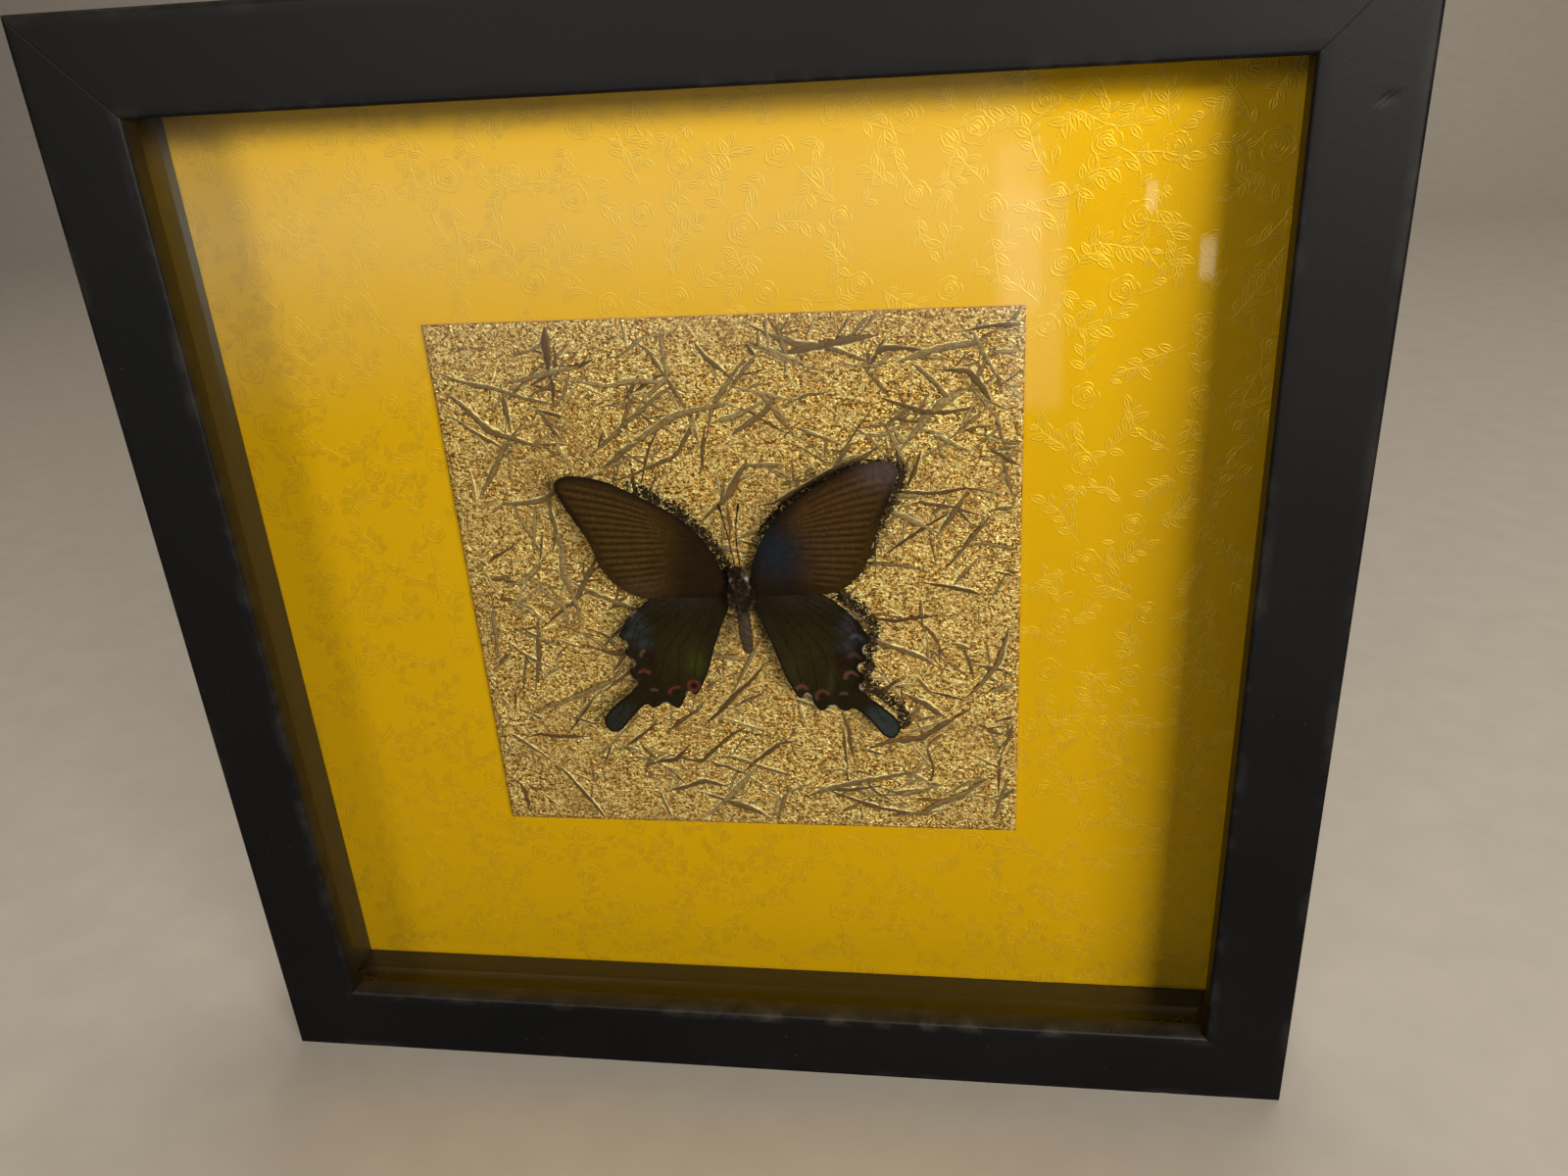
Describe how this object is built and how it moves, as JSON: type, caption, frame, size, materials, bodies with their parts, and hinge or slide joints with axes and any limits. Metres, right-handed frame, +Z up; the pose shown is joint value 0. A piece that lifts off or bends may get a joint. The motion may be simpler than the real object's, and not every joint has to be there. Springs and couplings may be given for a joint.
{
  "type": "framed butterfly specimen",
  "caption": "Dried swallowtail butterfly mounted on crinkled gold foil card and embossed yellow card, behind glass in a square black box frame that stands on its lower edge.",
  "frame": {"origin": "middle of the bottom of the frame's box, on the surface that the frame stands on", "axes": "+Z up, the glass faces -Y, +X to the right as seen from the front"},
  "size_m": [0.25, 0.035, 0.25],
  "materials": {
    "black_paint": "satin black paint",
    "strip_paint": "semi-gloss black paint",
    "glass": "clear, lightly dusty",
    "yellow_card": "metallic yellow, embossed with small leaves and flowers",
    "gold_foil": "crinkled gold foil",
    "foam": "matt foam",
    "body": "dry, hairy",
    "antenna": "dry, matt",
    "forewing": "brown scales with dark streaks",
    "hindwing": "black scales with green dusting and red marks",
    "fibreboard": "plain hardboard",
    "steel": "stamped",
    "brass": "plated"
  },
  "bodies": {
    "root": {"moulding_bottom": "black_paint", "moulding_left": "black_paint", "moulding_top": "black_paint", "moulding_right": "black_paint", "glass_pane": "glass", "spacer_strip_bottom": "strip_paint", "spacer_strip_left": "strip_paint", "spacer_strip_top": "strip_paint", "spacer_strip_right": "strip_paint", "embossed_card": "yellow_card", "gold_foil_card": "gold_foil", "foam_block": "foam", "butterfly_body": "body", "antenna_left": "antenna", "antenna_right": "antenna", "forewing_left": "forewing", "forewing_right": "forewing", "hindwing_left": "hindwing", "hindwing_right": "hindwing", "back_board": "fibreboard", "retaining_point_bottom_1": "steel", "retaining_point_bottom_2": "steel", "retaining_point_left_1": "steel", "retaining_point_left_2": "steel", "retaining_point_top_1": "steel", "retaining_point_top_2": "steel", "retaining_point_right_1": "steel", "retaining_point_right_2": "steel", "sawtooth_hanger": "brass", "hanger_rivet_1": "brass", "hanger_rivet_2": "brass"}
  },
  "joints": []
}
